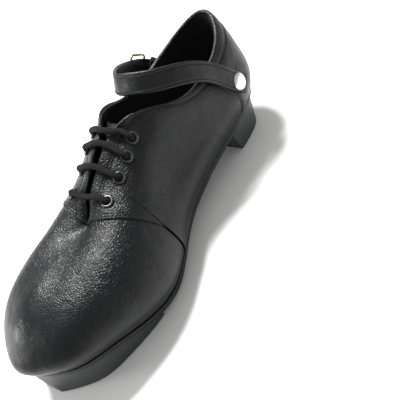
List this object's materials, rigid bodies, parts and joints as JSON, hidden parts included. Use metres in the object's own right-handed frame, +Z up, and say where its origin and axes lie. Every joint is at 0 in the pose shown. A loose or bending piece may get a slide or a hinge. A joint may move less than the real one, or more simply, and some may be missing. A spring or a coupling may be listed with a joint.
{
  "type": "irish dance hard shoe",
  "caption": "Right-foot irish dance hard shoe: laced leather upper on a thin sole, hard toe tip and heel block, and a buckled ankle strap.",
  "frame": {"origin": "middle of the heel's flat underside, on the floor", "axes": "+Z up, -Y towards the toe, +X towards the big-toe (medial) side"},
  "size_m": [0.103, 0.2683, 0.1065],
  "materials": {
    "black_grained_leather": "glossy, pebble grained",
    "black_lining": "matte",
    "charcoal_moulded_tip": "satin",
    "black_enamel": "gloss",
    "nickel_cap": "polished nickel",
    "old_brass": "dulled",
    "black_lace": "fine weave"
  },
  "bodies": {
    "root": {"upper": "black_grained_leather", "tongue": "black_grained_leather", "insole": "black_lining", "sole": "black_grained_leather", "toe_tip": "charcoal_moulded_tip", "heel": "charcoal_moulded_tip", "eyelet_medial_1": "black_enamel", "eyelet_medial_2": "black_enamel", "eyelet_medial_3": "black_enamel", "eyelet_medial_4": "black_enamel", "eyelet_lateral_1": "black_enamel", "eyelet_lateral_2": "black_enamel", "eyelet_lateral_3": "black_enamel", "eyelet_lateral_4": "black_enamel", "lace_bar_1": "black_lace", "lace_bar_2": "black_lace", "lace_bar_3": "black_lace", "lace_bar_4": "black_lace", "strap": "black_grained_leather", "strap_billet": "black_grained_leather", "strap_keeper": "black_grained_leather", "strap_snap": "nickel_cap", "billet_rivet": "nickel_cap", "buckle_frame": "old_brass", "buckle_prong": "old_brass"}
  },
  "joints": []
}
